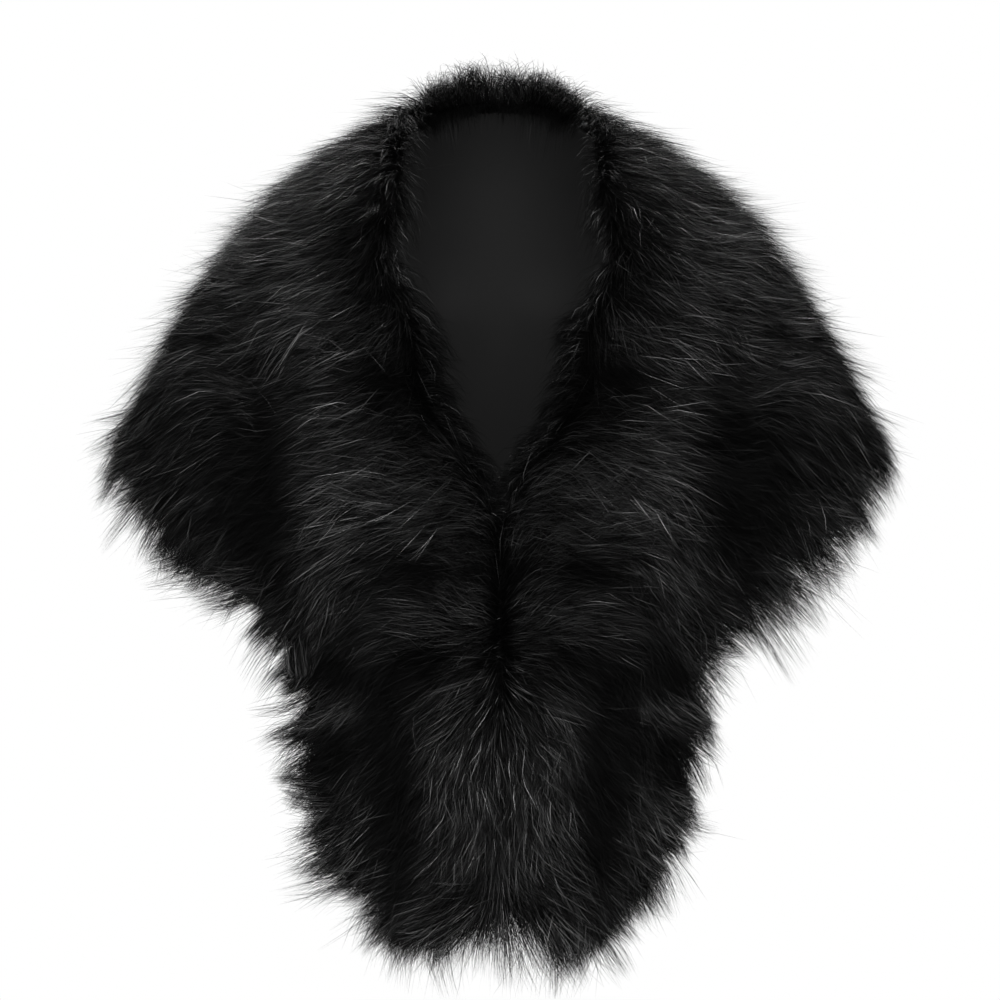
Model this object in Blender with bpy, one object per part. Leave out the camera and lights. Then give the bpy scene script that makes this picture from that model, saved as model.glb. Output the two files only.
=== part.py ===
"""Faux fur capelet: a shaped stole that lies over the shoulders, meets at the chest and hangs in two tails.

Metres, +Z up, the wearer faces -Y. The origin is the middle of the neck, level with the top of the shoulders
that hold the garment up. The garment is its own hollow: a fur shell in three panels and a lining in three more.

A band of fur runs from the centre back, over the shoulder and down the front to the end of a tail. It is given
by sections across it, from its neck edge to its hem, and the other half of the garment is their mirror image.
"""

import math
from collections import namedtuple

import bpy
import numpy as np

# Driving dimensions.
PILE = 0.021  # how far the lying pile stands above the fur's backing
FRINGE = 0.034  # how far the pile reaches past the cut edge at the hem, where it thins to a fringe
NECK_ROLL = 0.018  # how far the pile reaches past the sewn neck edge, where it rounds over
EDGE = 0.0016  # thickness left at a thinned or rounded edge
NECK_LEVEL, HEM_LEVEL = 0.5, 0.8  # how far up the pile the neck edge and the hem's tips lie
LINING = 0.0012  # thickness of the lining cloth
CLEAR = 0.0004  # between two layers, and between two panels at a seam
MIDDLE_GAP = 0.0002  # from the middle plane to each front's meeting edge
FULLNESS = 0.68  # how far a section reaches towards its bend: 0 is a straight line, 1 is a hard corner

# Sections across the band, from the centre back to the end of the tail. Each runs from the neck edge to the
# tip of the hem's fringe and turns around its bend, which lies outside the cloth.
Section = namedtuple("Section", "name neck bend hem")
SECTIONS = (
    Section("centre_back", (0.0000, 0.074, 0.040), (0.0000, 0.142, 0.006), (0.0000, 0.148, -0.300)),
    Section("back_quarter", (0.0320, 0.067, 0.034), (0.0980, 0.132, -0.002), (0.1160, 0.146, -0.296)),
    Section("back_shoulder", (0.0500, 0.045, 0.021), (0.1740, 0.090, -0.022), (0.2140, 0.108, -0.270)),
    Section("shoulder_top", (0.0520, 0.008, 0.007), (0.1880, 0.006, -0.036), (0.2680, 0.018, -0.228)),
    Section("front_shoulder", (0.0570, -0.030, -0.022), (0.1660, -0.078, -0.062), (0.2530, -0.044, -0.268)),
    Section("collar_bone", (0.0690, -0.070, -0.076), (0.1540, -0.142, -0.100), (0.2230, -0.084, -0.300)),
    Section("chest", (0.0540, -0.100, -0.128), (0.1340, -0.176, -0.150), (0.1890, -0.104, -0.332)),
    Section("bust", (0.0400, -0.121, -0.194), (0.1070, -0.190, -0.213), (0.1590, -0.112, -0.364)),
    Section("closure", (0.0006, -0.134, -0.276), (0.0820, -0.188, -0.284), (0.1440, -0.116, -0.404)),
    Section("tail_top", (0.0006, -0.138, -0.340), (0.0750, -0.180, -0.350), (0.1410, -0.114, -0.446)),
    Section("tail_middle", (0.0006, -0.138, -0.424), (0.0730, -0.174, -0.436), (0.1310, -0.112, -0.498)),
    Section("tail_low", (0.0006, -0.134, -0.506), (0.0590, -0.162, -0.520), (0.1040, -0.115, -0.540)),
    Section("tail_end", (0.0006, -0.132, -0.569), (0.0360, -0.143, -0.577), (0.0760, -0.124, -0.574)),
)
SHOULDER_SEAM = [section.name for section in SECTIONS].index("shoulder_top")
TAIL_END = len(SECTIONS) - 1

# Soft folds, the same on both halves. Each runs between two points of the front or back view and is a ridge
# where its rise is above zero and a trough where it is below.
Fold = namedtuple("Fold", "face x0 z0 x1 z1 width rise")
FRONT, BACK = -1, 1
FOLDS = (
    Fold(FRONT, 0.180, -0.184, 0.166, -0.330, 0.026, -0.015),  # between the chest and the arm
    Fold(FRONT, 0.226, -0.185, 0.222, -0.290, 0.028, 0.006),  # over the arm
    Fold(FRONT, 0.070, -0.176, 0.170, -0.178, 0.016, -0.006),  # from the neckline towards the armhole
    Fold(FRONT, 0.035, -0.244, 0.120, -0.256, 0.022, 0.006),  # swell above the closure
    Fold(FRONT, 0.006, -0.300, 0.062, -0.302, 0.015, -0.004),  # pulled in at the closure
    Fold(FRONT, 0.080, -0.316, 0.128, -0.378, 0.014, -0.006),  # and slanting down from it
    Fold(FRONT, 0.025, -0.342, 0.100, -0.360, 0.018, 0.005),  # swell at the top of the tail
    Fold(FRONT, 0.072, -0.410, 0.070, -0.560, 0.016, -0.008),  # down the tail
    Fold(BACK, 0.040, -0.120, 0.052, -0.300, 0.026, -0.009),  # two flutes that open towards the back hem
    Fold(BACK, 0.136, -0.150, 0.158, -0.280, 0.026, -0.010),
    Fold(BACK, 0.094, -0.160, 0.104, -0.300, 0.026, 0.005),
)

BACK_STRIPS, FRONT_STRIPS, MIDDLE_ROWS = 22, 24, 8
ROLLING = (0, 0.12, 0.45, 1.0)  # shares of NECK_ROLL at which rows of points lie
THINNING = (1.0, 0.62, 0.28, 0.07, 0)  # shares of FRINGE, from where the pile starts to thin out to its tips
ARC_SAMPLES = 48
STEP = 0.02  # in sections, for the slope along the band


def through_sections(along, column):
    """A column of SECTIONS on a smooth curve, at a place counted in sections from the centre back."""
    index = min(int(along), TAIL_END - 1)
    part = along - index

    def value(i):
        mirrored = np.array([-1.0, 1.0, 1.0]) if i < 0 else np.ones(3)
        if i > TAIL_END:
            return 2 * value(TAIL_END) - value(TAIL_END - 1)
        return np.array(getattr(SECTIONS[abs(i)], column)) * mirrored

    before, start, end, after = (value(index + k) for k in (-1, 0, 1, 2))
    return 0.5 * (
        2 * start
        + (end - before) * part
        + (2 * before - 5 * start + 4 * end - after) * part**2
        + (3 * start - before - 3 * end + after) * part**3
    )


def section_curve(along):
    """Points down one section from its neck edge to its hem, with each one's distance from the neck edge."""
    neck, bend, hem = (through_sections(along, column) for column in ("neck", "bend", "hem"))
    upper = neck + FULLNESS * (bend - neck)
    lower = hem + FULLNESS * (bend - hem)
    t = np.linspace(0, 1, ARC_SAMPLES)[:, None]
    points = (1 - t) ** 3 * neck + 3 * (1 - t) ** 2 * t * upper + 3 * (1 - t) * t**2 * lower + t**3 * hem
    steps = np.linalg.norm(np.diff(points, axis=0), axis=1)
    return points, np.concatenate([[0], np.cumsum(steps)])


def at_share(along, share):
    """The point of a section at a share of its width, and the direction across the band there."""
    points, distance = section_curve(along)
    wanted = share * distance[-1]
    point = np.array([np.interp(wanted, distance, points[:, axis]) for axis in range(3)])
    reach = 0.01 * distance[-1]
    ahead, behind = min(wanted + reach, distance[-1]), max(wanted - reach, 0)
    across = np.array(
        [
            np.interp(ahead, distance, points[:, axis]) - np.interp(behind, distance, points[:, axis])
            for axis in range(3)
        ]
    )
    return point, across / np.linalg.norm(across)


def fold_rise(point):
    """How far the folds push the cloth out at a point of the right half."""
    total = 0.0
    for fold in FOLDS:
        facing = 1 / (1 + math.exp(-fold.face * point[1] / 0.012))
        start, end = np.array([fold.x0, fold.z0]), np.array([fold.x1, fold.z1])
        place = np.array([point[0], point[2]])
        run = end - start
        share = np.dot(place - start, run) / np.dot(run, run)
        aside = np.linalg.norm(place - start - min(max(share, 0), 1) * run)
        total += facing * fold.rise * math.exp(-((aside / fold.width) ** 2))
    return total


def cloth(along, share):
    """A point of the cloth's inner face, its outward normal and the direction along the band.

    along is negative on the left half, which mirrors the right one."""
    side = -1.0 if along < 0 else 1.0
    place = abs(along)
    point, across = at_share(place, share)
    ahead, _ = at_share(min(place + STEP, TAIL_END), share)
    behind, _ = at_share(abs(place - STEP), share)
    if place < STEP:
        behind = behind * (-1, 1, 1)
    run = ahead - behind
    normal = np.cross(run, across)
    normal /= np.linalg.norm(normal)
    point = point + normal * fold_rise(point)
    mirror = np.array([side, 1, 1])
    return point * mirror, normal * mirror, run / np.linalg.norm(run) * mirror


def width_at(along):
    """The width of the band from its neck edge to the tip of its fringe."""
    return section_curve(abs(along))[1][-1]


def fur_rows(width):
    """Distances from the neck edge at which the fur's rows lie, closer together where its edges are rounded."""
    roll = [NECK_ROLL * step for step in ROLLING]
    thinning = [width - FRINGE * step for step in THINNING]
    middle = np.linspace(roll[-1], thinning[0], MIDDLE_ROWS + 2)[1:-1]
    return [*roll, *middle, *thinning]


def fur_offsets(distance, width, end_distance):
    """How far the inner and outer faces of the fur lie from the cloth's inner face."""
    base = LINING + CLEAR
    roll = min(distance / NECK_ROLL, 1)
    rounded = math.sqrt(max(1 - (1 - roll) ** 2, 0))
    hem = min((width - distance) / FRINGE, 1) ** 0.75
    tail = min(max(end_distance, 0) / FRINGE, 1) ** 0.75
    thick = EDGE + (PILE - EDGE) * rounded * hem * tail
    lift = (PILE - EDGE) * (NECK_LEVEL * (1 - rounded) + HEM_LEVEL * rounded * (1 - hem * tail))
    return base + lift, base + lift + thick


def kept_off_middle(point, along):
    """The point, moved off the middle plane where the two fronts meet."""
    side = -1.0 if along < 0 else 1.0
    if abs(along) > SHOULDER_SEAM:
        point[0] = side * max(side * point[0], MIDDLE_GAP)
    return point


def end_distance_at(along):
    """About how far a section is from the end of the tail."""
    last = np.array(SECTIONS[TAIL_END].neck)
    return float(np.linalg.norm(through_sections(abs(along), "neck") - last))


def seam_shift(along, seam_at):
    """Which way to draw a panel's edge back from a seam: -1, 0 or 1 along the band."""
    if seam_at and abs(abs(along) - seam_at[0]) < 1e-6:
        return seam_at[1]
    return 0


def fur_grids(places, seam_at):
    """The inner and outer faces of a fur panel, a row of points for each place along the band."""
    inner, outer = [], []
    for along in places:
        width = width_at(along)
        end_distance = end_distance_at(along)
        inside, outside = [], []
        for distance in fur_rows(width):
            point, normal, run = cloth(along, distance / width)
            point = point + run * seam_shift(along, seam_at) * CLEAR / 2
            low, high = fur_offsets(distance, width, end_distance)
            inside.append(kept_off_middle(point + normal * low, along))
            outside.append(kept_off_middle(point + normal * high, along))
        inner.append(inside)
        outer.append(outside)
    return inner, outer


def lining_grids(places, seam_at):
    """The inner and outer faces of a lining panel, which keeps clear of the fur's rounded and thinned edges."""
    inner, outer = [], []
    for along in places:
        width = width_at(along)
        inside, outside = [], []
        for distance in fur_rows(width)[len(ROLLING) - 1 : 1 - len(THINNING)]:
            point, normal, run = cloth(along, distance / width)
            point = point + run * seam_shift(along, seam_at) * CLEAR / 2
            inside.append(kept_off_middle(point, along))
            outside.append(kept_off_middle(point + normal * LINING, along))
        inner.append(inside)
        outer.append(outside)
    return inner, outer


def material(name, colour, roughness):
    made = bpy.data.materials.new(name)
    made.use_nodes = True
    shader = made.node_tree.nodes["Principled BSDF"]
    shader.inputs["Base Color"].default_value = (*colour, 1)
    shader.inputs["Roughness"].default_value = roughness
    shader.inputs["Metallic"].default_value = 0.0
    return made


def walled_panel(name, inner, outer, surface):
    """One closed object between two faces that have the same rows and columns of points."""
    rows, columns = len(inner), len(inner[0])
    points = [tuple(p) for row in inner for p in row] + [tuple(p) for row in outer for p in row]
    far = rows * columns

    def at(i, j):
        return i * columns + j

    faces = []
    for i in range(rows - 1):
        for j in range(columns - 1):
            a, b, c, d = at(i, j), at(i + 1, j), at(i + 1, j + 1), at(i, j + 1)
            faces += [(far + a, far + b, far + c), (far + a, far + c, far + d), (a, c, b), (a, d, c)]
    for i in range(rows - 1):
        for j, turn in ((0, 1), (columns - 1, -1)):
            faces.append((at(i, j), at(i + 1, j), far + at(i + 1, j))[::turn])
            faces.append((at(i, j), far + at(i + 1, j), far + at(i, j))[::turn])
    for j in range(columns - 1):
        for i, turn in ((0, -1), (rows - 1, 1)):
            faces.append((at(i, j), at(i, j + 1), far + at(i, j + 1))[::turn])
            faces.append((at(i, j), far + at(i, j + 1), far + at(i, j))[::turn])
    mesh = bpy.data.meshes.new(name)
    mesh.from_pydata(points, [], faces)
    mesh.materials.append(surface)
    mesh.shade_smooth()
    mesh.set_sharp_from_angle(angle=math.radians(50))
    panel = bpy.data.objects.new(name, mesh)
    bpy.context.scene.collection.objects.link(panel)
    return panel


def front_places(side, steps):
    """Places along one front from the shoulder seam down, in the order that turns its faces outwards.

    steps are the shares of FRINGE, back from the end of the tail, at which the last places lie."""
    ends = [TAIL_END - FRINGE * step / end_distance_at(TAIL_END - 1) for step in steps]
    places = [*np.linspace(SHOULDER_SEAM, ends[0], FRONT_STRIPS + 1), *ends[1:]]
    return [side * place for place in places][::side]


for old in list(bpy.data.objects):
    bpy.data.objects.remove(old)

fur_surface = material("black_fur", (0.006, 0.006, 0.006), 0.6)
lining_surface = material("charcoal_lining", (0.015, 0.015, 0.015), 0.55)

back_places = list(np.linspace(-SHOULDER_SEAM, SHOULDER_SEAM, BACK_STRIPS + 1))
back_seam = (SHOULDER_SEAM, -1)
front_seam = (SHOULDER_SEAM, 1)

walled_panel("fur_back", *fur_grids(back_places, back_seam), fur_surface)
walled_panel("lining_back", *lining_grids(back_places, back_seam), lining_surface)

for hand, side in (("left", 1), ("right", -1)):
    walled_panel(f"fur_front_{hand}", *fur_grids(front_places(side, THINNING), front_seam), fur_surface)
    lined = front_places(side, THINNING[:1])
    walled_panel(f"lining_front_{hand}", *lining_grids(lined, front_seam), lining_surface)
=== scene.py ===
import math
from collections import namedtuple

import bpy
import numpy as np
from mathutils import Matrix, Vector
from mathutils.kdtree import KDTree


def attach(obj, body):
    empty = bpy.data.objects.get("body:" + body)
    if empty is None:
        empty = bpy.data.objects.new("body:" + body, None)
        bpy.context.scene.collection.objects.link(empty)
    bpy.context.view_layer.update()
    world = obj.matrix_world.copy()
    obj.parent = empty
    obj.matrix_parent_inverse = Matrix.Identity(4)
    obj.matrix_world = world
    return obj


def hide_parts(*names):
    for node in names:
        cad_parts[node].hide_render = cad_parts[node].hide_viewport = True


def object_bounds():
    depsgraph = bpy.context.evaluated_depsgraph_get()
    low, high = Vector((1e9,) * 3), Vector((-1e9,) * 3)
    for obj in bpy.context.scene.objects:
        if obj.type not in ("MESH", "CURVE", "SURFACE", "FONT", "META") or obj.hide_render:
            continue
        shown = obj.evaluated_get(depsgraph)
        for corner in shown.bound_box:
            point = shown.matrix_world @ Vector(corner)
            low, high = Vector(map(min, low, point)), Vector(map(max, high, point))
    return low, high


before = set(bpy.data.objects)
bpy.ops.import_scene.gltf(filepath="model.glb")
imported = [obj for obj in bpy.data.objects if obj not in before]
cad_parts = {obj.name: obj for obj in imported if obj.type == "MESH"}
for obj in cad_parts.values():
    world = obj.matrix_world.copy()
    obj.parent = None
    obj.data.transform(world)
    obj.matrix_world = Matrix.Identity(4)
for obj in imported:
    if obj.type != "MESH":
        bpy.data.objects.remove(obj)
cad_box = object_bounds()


# ---------------------------------------------------------------------------------------------------------
# The fur's backing: a black knitted ground in three panels, cut as a back and two fronts and sewn at the
# shoulders. One band runs from the centre back, over the shoulder and down to the end of a tail, and its
# mirror image is the other half. Everything sewn to it lies at a place along the band and a share across it.

FRINGE = 0.034  # from the sewn hem to the pile's reach
BACKING = 0.0012
LINING_GAP = 0.0016  # the lining and its clearance, under the backing
FULLNESS = 0.68  # how far the curve across the band is drawn out towards its bend

# Three points across the band at each cross-section. Places along the band are counted in sections.
Section = namedtuple("Section", "name neck bend hem")
SECTIONS = (
    Section("centre_back", (0, 0.074, 0.040), (0, 0.142, 0.006), (0, 0.148, -0.300)),
    Section("back_quarter", (0.032, 0.067, 0.034), (0.098, 0.132, -0.002), (0.116, 0.146, -0.296)),
    Section("back_shoulder", (0.050, 0.045, 0.021), (0.174, 0.090, -0.022), (0.214, 0.108, -0.270)),
    Section("shoulder_top", (0.052, 0.008, 0.007), (0.188, 0.006, -0.036), (0.268, 0.018, -0.228)),
    Section("front_shoulder", (0.057, -0.030, -0.022), (0.166, -0.078, -0.062), (0.253, -0.044, -0.268)),
    Section("collar_bone", (0.069, -0.070, -0.076), (0.154, -0.142, -0.100), (0.223, -0.084, -0.300)),
    Section("chest", (0.054, -0.100, -0.128), (0.134, -0.176, -0.150), (0.189, -0.104, -0.332)),
    Section("bust", (0.040, -0.121, -0.194), (0.107, -0.190, -0.213), (0.159, -0.112, -0.364)),
    Section("closure", (0.0006, -0.134, -0.276), (0.082, -0.188, -0.284), (0.144, -0.116, -0.404)),
    Section("tail_top", (0.0006, -0.138, -0.340), (0.075, -0.180, -0.350), (0.141, -0.114, -0.446)),
    Section("tail_middle", (0.0006, -0.138, -0.424), (0.073, -0.174, -0.436), (0.131, -0.112, -0.498)),
    Section("tail_low", (0.0006, -0.134, -0.506), (0.059, -0.162, -0.520), (0.104, -0.115, -0.540)),
    Section("tail_end", (0.0006, -0.132, -0.569), (0.036, -0.143, -0.577), (0.076, -0.124, -0.574)),
)
SHOULDER_SEAM = [section.name for section in SECTIONS].index("shoulder_top")
TAIL_END = len(SECTIONS) - 1

Fold = namedtuple("Fold", "face x0 z0 x1 z1 width rise")
FRONT, BACK = -1, 1
FACE_BLEND = 0.012  # how near the side a fold or a patch of one face starts to die out
FOLDS = (
    Fold(FRONT, 0.180, -0.184, 0.166, -0.330, 0.026, -0.015),  # between the chest and the arm
    Fold(FRONT, 0.226, -0.185, 0.222, -0.290, 0.028, 0.006),  # over the arm
    Fold(FRONT, 0.070, -0.176, 0.170, -0.178, 0.016, -0.006),  # from the neckline towards the armhole
    Fold(FRONT, 0.035, -0.244, 0.120, -0.256, 0.022, 0.006),  # swell above the closure
    Fold(FRONT, 0.006, -0.300, 0.062, -0.302, 0.015, -0.004),  # pulled in at the closure
    Fold(FRONT, 0.080, -0.316, 0.128, -0.378, 0.014, -0.006),  # and slanting down from it
    Fold(FRONT, 0.025, -0.342, 0.100, -0.360, 0.018, 0.005),  # swell at the top of the tail
    Fold(FRONT, 0.072, -0.410, 0.070, -0.560, 0.016, -0.008),  # down the tail
    Fold(BACK, 0.040, -0.120, 0.052, -0.300, 0.026, -0.009),  # two flutes that open towards the back hem
    Fold(BACK, 0.136, -0.150, 0.158, -0.280, 0.026, -0.010),
    Fold(BACK, 0.094, -0.160, 0.104, -0.300, 0.026, 0.005),
)

STEPS_PER_SECTION, STEPS_ACROSS, CURVE_STEPS = 16, 96, 64


def unit(vectors):
    """Vectors of the same directions, each one unit long."""
    return vectors / np.maximum(np.linalg.norm(vectors, axis=-1, keepdims=True), 1e-12)


def smooth(low, high, value):
    """A soft step from 0 at low to 1 at high, which falls instead where low is the larger."""
    t = np.clip((value - low) / (high - low), 0, 1)
    return t * t * (3 - 2 * t)


def section_values(rows, along, column):
    """A column of a table with a row for each cross-section, on a smooth curve at places along the band."""
    along = np.atleast_1d(along)
    table = np.array([getattr(row, column) for row in rows], float)
    table = table.reshape(len(table), -1)
    mirror = np.array([-1.0, 1, 1]) if table.shape[1] == 3 else np.ones(1)
    table = np.vstack([table[1] * mirror, table, 2 * table[-1] - table[-2]])
    index = np.clip(along.astype(int), 0, TAIL_END - 1)
    part = (along - index)[:, None]
    before, start, end, after = (table[index + k] for k in range(4))
    return 0.5 * (
        2 * start
        + (end - before) * part
        + (2 * before - 5 * start + 4 * end - after) * part**2
        + (3 * start - before - 3 * end + after) * part**3
    )


def on_face(face, points):
    """1 for points on the garment's front or back, 0 on its other face, soft in between."""
    return 1 / (1 + np.exp(-face * points[..., 1] / FACE_BLEND))


def fold_rise(points):
    """How far the folds push the cloth out at points of the right half."""
    total = np.zeros(points.shape[:-1])
    for fold in FOLDS:
        start, run = np.array([fold.x0, fold.z0]), np.array([fold.x1 - fold.x0, fold.z1 - fold.z0])
        place = points[..., [0, 2]] - start
        share = np.clip(place @ run / (run @ run), 0, 1)
        aside = np.linalg.norm(place - share[..., None] * run, axis=-1)
        total += on_face(fold.face, points) * fold.rise * np.exp(-((aside / fold.width) ** 2))
    return total


def half_surface(along):
    """The right half's cloth as a grid of points, a row for each place along, and each row's width."""
    neck, bend, hem = (section_values(SECTIONS, along, column) for column in ("neck", "bend", "hem"))
    upper, lower = neck + FULLNESS * (bend - neck), hem + FULLNESS * (bend - hem)
    t = np.linspace(0, 1, CURVE_STEPS + 1)[None, :, None]
    curve = (
        (1 - t) ** 3 * neck[:, None]
        + 3 * (1 - t) ** 2 * t * upper[:, None]
        + 3 * (1 - t) * t**2 * lower[:, None]
        + t**3 * hem[:, None]
    )
    steps = np.linalg.norm(np.diff(curve, axis=1), axis=2)
    distance = np.concatenate([np.zeros((len(along), 1)), np.cumsum(steps, axis=1)], axis=1)
    shares = np.linspace(0, 1, STEPS_ACROSS + 1)
    points = np.stack(
        [
            [np.interp(shares * distance[i, -1], distance[i], curve[i, :, axis]) for axis in range(3)]
            for i in range(len(along))
        ]
    )
    return points.transpose(0, 2, 1), distance[:, -1]


def to_right(along):
    """What takes points of the left half onto the right when they're multiplied by it."""
    return np.where(along < 0, -1, 1)[:, None] ** np.array([1, 0, 0])


def band_grid():
    """The whole band from one tail to the other, with its frame of directions at each point."""
    right = np.linspace(0, TAIL_END, TAIL_END * STEPS_PER_SECTION + 1)
    points, width = half_surface(right)
    points = np.concatenate([points[:0:-1] * (-1, 1, 1), points])
    width = np.concatenate([width[:0:-1], width])
    along = np.concatenate([-right[:0:-1], right])

    def slopes(points):
        run = np.gradient(points, axis=0) * STEPS_PER_SECTION
        across = np.gradient(points, axis=1) * STEPS_ACROSS
        return run, across, unit(np.cross(run, across))

    _, _, normal = slopes(points)
    points = points + normal * fold_rise(points * to_right(along)[:, None])[..., None]
    run, across, normal = slopes(points)
    return along, width, points, run, across, normal


GRID_ALONG, GRID_WIDTH, GRID_POINTS, GRID_RUN, GRID_ACROSS, GRID_NORMAL = band_grid()


def on_band(grid, along, share):
    """Values of a grid over the band at places along it and shares across it, kept inside its edges."""
    row = np.clip((along + TAIL_END) * STEPS_PER_SECTION, 0, len(grid) - 1.001)
    column = np.clip(share * STEPS_ACROSS, 0, STEPS_ACROSS - 0.001)
    i, j = row.astype(int), column.astype(int)
    u, v = (row - i)[..., None], (column - j)[..., None]
    values = grid if grid.ndim == 3 else grid[..., None]
    return (
        values[i, j] * (1 - u) * (1 - v)
        + values[i + 1, j] * u * (1 - v)
        + values[i, j + 1] * (1 - u) * v
        + values[i + 1, j + 1] * u * v
    )


def width_along(along):
    """The width of the cloth across the band."""
    return np.interp(along, GRID_ALONG, GRID_WIDTH)


def by_place(table, along):
    """A value from a table of places and values, the same on both halves of the band."""
    return np.interp(np.abs(along), *zip(*table))


# From the pile's reach at the neck edge to the sewn edge: less at the nape, and next to nothing where the
# fronts meet.
NECK_ROLL = ((0.8, 0.011), (2.6, 0.018), (4.8, 0.018), (6.6, 0.009), (8.0, 0.0001))


class Socket:
    """A shader socket in an expression: the operators add Math nodes."""

    def __init__(self, tree, output):
        self.tree, self.output = tree, output

    def math(self, operation, other, swapped=False):
        values = (other, self) if swapped else (self, other)
        return self.tree.node("ShaderNodeMath", {"operation": operation}, dict(enumerate(values)))[0]

    def __add__(self, other):
        return self.math("ADD", other)

    __radd__ = __add__

    def __sub__(self, other):
        return self.math("SUBTRACT", other)

    def __rsub__(self, other):
        return self.math("SUBTRACT", other, True)

    def __mul__(self, other):
        return self.math("MULTIPLY", other)

    __rmul__ = __mul__

    def __truediv__(self, other):
        return self.math("DIVIDE", other)

    def __pow__(self, other):
        return self.math("POWER", other)


class Nodes:
    """The nodes of one material, or of the light all round."""

    def __init__(self, owner, shader="Principled BSDF", **fixed):
        owner.use_nodes = True
        self.owner, self.tree = owner, owner.node_tree
        self.shader = self.tree.nodes[shader]
        self.shade(**fixed)

    def node(self, kind, settings, values):
        """A node's outputs by number or name. Settings are set first, then its sockets' values or links."""
        made = self.tree.nodes.new(kind)
        for key, value in settings.items():
            setattr(made, key, value)
        for key, value in values.items():
            self.put(made.inputs[key], value)
        return {
            key: Socket(self, output)
            for n, output in enumerate(made.outputs)
            for key in (n, output.name)
        }

    def put(self, socket, value):
        """Link a socket to an expression, or set its value."""
        if isinstance(value, Socket):
            self.tree.links.new(value.output, socket)
        else:
            socket.default_value = value

    def mix(self, factor, first, second):
        """A colour between two."""
        return self.node("ShaderNodeMix", {"data_type": "RGBA"}, {0: factor, 6: first, 7: second})[2]

    def shade(self, **values):
        """Put values or expressions on the shader's own sockets."""
        for socket, value in values.items():
            self.put(self.shader.inputs[socket.replace("_", " ")], value)


def new_material(name, **fixed):
    """The nodes of a new material, with the given settings of its shader."""
    return Nodes(bpy.data.materials.new(name), **fixed)


TAIL_HEM = 0.5  # in sections, from the sewn end of a tail to its pile's reach
CORNER = 0.9  # in sections, how far the rounded corner of a tail reaches up
CORNER_CUT = 0.45  # the share of the cloth's width that the corner takes off at the very end
SHARP_EDGE = math.radians(60)


def walled_sheet(name, along, rows, low, high, material, inset=0.0):
    """A closed thin sheet over part of the band, between two heights above the cloth's inner face.

    A height is a value or a function of places along and shares across. Its outer corner is rounded where it
    ends in a tail."""
    along_grid = np.repeat(along[:, None], len(rows), axis=1)
    width, near = width_along(along)[:, None], by_place(NECK_ROLL, along)[:, None] + inset
    to_corner = np.clip(np.abs(along) - (TAIL_END - TAIL_HEM - CORNER), 0, CORNER)[:, None] / CORNER
    sewn = np.array(rows)[None, :] * (1 - CORNER_CUT + CORNER_CUT * np.sqrt(1 - to_corner**2))
    share = near / width + sewn * (1 - (near + FRINGE + inset) / width)
    points = on_band(GRID_POINTS, along_grid, share)
    normal = on_band(GRID_NORMAL, along_grid, share)
    faces_in = points + normal * (low if np.isscalar(low) else low(along_grid, share)[..., None])
    faces_out = points + normal * (high if np.isscalar(high) else high(along_grid, share)[..., None])
    count, columns = share.shape
    vertices = np.concatenate([faces_in.reshape(-1, 3), faces_out.reshape(-1, 3)])
    a = (np.arange(count - 1)[:, None] * columns + np.arange(columns - 1)[None, :]).ravel()
    far = count * columns
    outer = np.stack([a, a + columns, a + columns + 1, a + 1], axis=1) + far
    inner = np.stack([a, a + 1, a + columns + 1, a + columns], axis=1)
    rims = []
    for ring, turn in (
        (np.arange(columns), 1),
        (np.arange(columns) + far - columns, -1),
        (np.arange(count) * columns, -1),
        (np.arange(count) * columns + columns - 1, 1),
    ):
        strip = np.stack([ring[:-1], ring[:-1] + far, ring[1:] + far, ring[1:]], axis=1)
        rims.append(strip[:, ::turn])
    faces = np.concatenate([outer, inner, *rims])
    mesh = bpy.data.meshes.new(name)
    mesh.from_pydata(vertices.tolist(), [], faces.tolist())
    mesh.materials.append(material)
    uv = mesh.uv_layers.new(name="cloth")
    corner = np.empty(len(mesh.loops), int)
    mesh.loops.foreach_get("vertex_index", corner)
    length = np.abs(np.gradient(faces_out, axis=0)).sum(axis=2).mean(axis=1).cumsum()
    flat = np.stack([np.repeat(length[:, None], columns, axis=1), share * width], axis=2).reshape(-1, 2)
    uv.data.foreach_set("uv", flat[corner % far].ravel())
    mesh.shade_smooth()
    mesh.set_sharp_from_angle(angle=SHARP_EDGE)
    sheet = bpy.data.objects.new(name, mesh)
    bpy.context.scene.collection.objects.link(sheet)
    return sheet


BACKING_DARK, BACKING_LIGHT = (0.0022, 0.0022, 0.0022, 1), (0.006, 0.006, 0.006, 1)
knit = new_material("knitted_backing", Roughness=0.8, Specular_IOR_Level=0.1)
cloth = knit.node("ShaderNodeUVMap", {"uv_map": "cloth"}, {})[0]
loops = knit.node(
    "ShaderNodeTexWave", {"wave_type": "BANDS", "bands_direction": "Y"},
    {"Vector": cloth, "Scale": 180.0, "Distortion": 3.0, "Detail": 2.0},
)["Fac"]
patches = knit.node("ShaderNodeTexNoise", {}, {"Vector": cloth, "Scale": 40.0, "Detail": 4.0})[0]
knit.shade(
    Base_Color=knit.mix(loops * patches, BACKING_DARK, BACKING_LIGHT),
    Normal=knit.node("ShaderNodeBump", {}, {"Strength": 0.4, "Distance": 0.0004, "Height": loops})[0],
)

PANELS = {
    "back": (-SHOULDER_SEAM, SHOULDER_SEAM),
    "front_left": (SHOULDER_SEAM, TAIL_END),
    "front_right": (-TAIL_END, -SHOULDER_SEAM),
}
# Each backing's flat width and length, and its area, because it isn't a rectangle.
BACKING_CUT = {
    "back": (0.62, 0.37, 0.17),
    "front_left": (0.55, 0.36, 0.11),
    "front_right": (0.55, 0.36, 0.11),
}
SEAM = 0.004  # in sections, drawn back from a seam
BACKING_ROWS, BACKING_COLUMNS = 72, 32


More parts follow.
